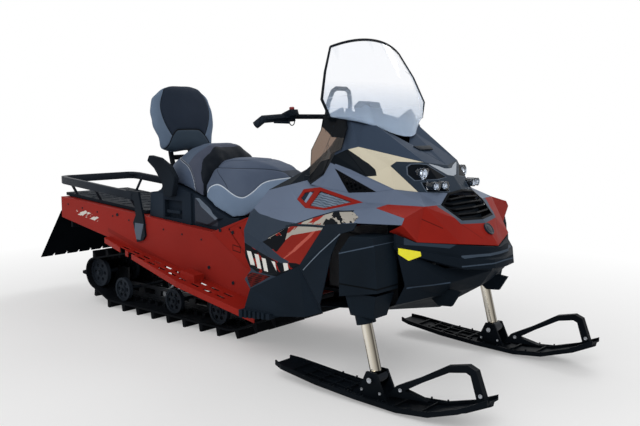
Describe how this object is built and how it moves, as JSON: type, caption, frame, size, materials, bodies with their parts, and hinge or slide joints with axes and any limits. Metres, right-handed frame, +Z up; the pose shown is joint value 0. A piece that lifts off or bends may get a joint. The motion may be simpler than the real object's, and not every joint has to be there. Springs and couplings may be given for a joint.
{
  "type": "snowmobile",
  "caption": "Two-seat utility snowmobile with telescopic ski legs, lugged track, windshield, backrest and rear cargo rack.",
  "frame": {"origin": "on the ground under the middle of the whole machine", "axes": "+X forward, +Y to the rider's left, +Z up"},
  "size_m": [3.28, 1.11, 1.4409],
  "materials": {
    "red_paint": "satin brick-red paint on sheet metal",
    "red_plastic": "satin brick-red moulded plastic",
    "slate_plastic": "satin slate-grey moulded plastic",
    "dark_slate_plastic": "satin dark slate moulded plastic",
    "black_plastic": "textured blue-black moulded plastic",
    "gloss_black_plastic": "gloss black moulded plastic",
    "clear_lens": "clear polycarbonate lens",
    "cream_plastic": "satin cream moulded plastic",
    "grille_plastic": "ribbed grey moulded grille",
    "black_mesh": "black moulded grille",
    "clear_shield": "clear polycarbonate sheet",
    "bronze_shield": "bronze tinted polycarbonate sheet",
    "yellow_reflector": "bright yellow reflector",
    "insert_film": null,
    "track_rubber": "moulded black rubber",
    "axle_steel": "machined steel",
    "wheel_plastic": "black moulded wheels with rubber rims",
    "rail_aluminium": "black anodised aluminium",
    "silver_arm": "bare cast and tubular aluminium",
    "shock_steel": "black coil over a steel rod",
    "frame_paint": "black powder coat on steel",
    "engine_iron": "cast housing",
    "deck_plastic": "dark grey moulded deck",
    "rack_paint": "satin black tube",
    "red_lens": "red lamp lens",
    "seat_vinyl": "slate-grey sewn vinyl",
    "handle_rubber": "black grip rubber",
    "flap_rubber": "black flexible flap",
    "leg_nickel": "bright champagne nickel",
    "ski_plastic": "black moulded ski"
  },
  "bodies": {
    "chassis": {"tunnel": "red_paint", "side_plates": "red_paint", "running_boards": "red_paint", "vent_frames": "red_plastic", "vent_grilles": "grille_plastic", "gauge_pod": "black_plastic", "nose_cone": "red_plastic", "side_panels": "slate_plastic", "hood": "slate_plastic", "upper_cowl": "dark_slate_plastic", "lower_fairings": "black_plastic", "leg_covers": "black_plastic", "belly_pan": "black_plastic", "front_bumper": "black_plastic", "console": "black_plastic", "lamp_housing": "gloss_black_plastic", "lamp_lenses": "clear_lens", "cheek_panels": "cream_plastic", "mesh_grilles": "black_mesh", "hood_grille": "black_mesh", "windshield": "clear_shield", "wind_deflectors": "bronze_shield", "side_reflectors": "yellow_reflector", "side_inserts": "insert_film", "track": "track_rubber", "drive_axle": "axle_steel", "rear_axle": "wheel_plastic", "idler_wheels": "wheel_plastic", "slide_rails": "rail_aluminium", "suspension_arms": "silver_arm", "shocks": "shock_steel", "front_frame": "frame_paint", "engine_block": "engine_iron", "steering_tower": "frame_paint", "rack_deck": "deck_plastic", "rack_rail": "rack_paint", "rack_brackets": "black_plastic", "tail_lamp": "red_lens", "tow_hitch": "frame_paint", "seat_base": "black_plastic", "driver_seat": "seat_vinyl", "passenger_seat": "seat_vinyl", "backrest_pad": "seat_vinyl", "backrest_frame": "frame_paint", "passenger_handles": "handle_rubber", "snow_flap": "flap_rubber"},
    "steering": {"handlebar": "frame_paint", "grips": "handle_rubber", "switch_blocks": "black_plastic"},
    "ski_unit_right": {"ski_leg_right": "leg_nickel", "ski_right": "ski_plastic"},
    "ski_unit_left": {"ski_leg_left": "leg_nickel", "ski_left": "ski_plastic"}
  },
  "joints": [
    {"name": "handlebar_steer", "type": "hinge", "parent": "chassis", "child": "steering", "pos_m": [0.565, 0, 1.072], "axis": [-0.454, 0, 0.891], "range_deg": [-35, 35]},
    {"name": "ski_steer_right", "type": "hinge", "parent": "chassis", "child": "ski_unit_right", "pos_m": [1.147, -0.475, 0.097], "axis": [-0.2521, 0, 0.9677], "range_deg": [-30.5, 30.5]},
    {"name": "ski_steer_left", "type": "hinge", "parent": "chassis", "child": "ski_unit_left", "pos_m": [1.147, 0.475, 0.097], "axis": [-0.2521, 0, 0.9677], "range_deg": [-30.5, 30.5]}
  ],
  "couplings": [
    {"joint": "ski_steer_right", "follows": "handlebar_steer", "ratio": 0.86},
    {"joint": "ski_steer_left", "follows": "handlebar_steer", "ratio": 0.86}
  ]
}
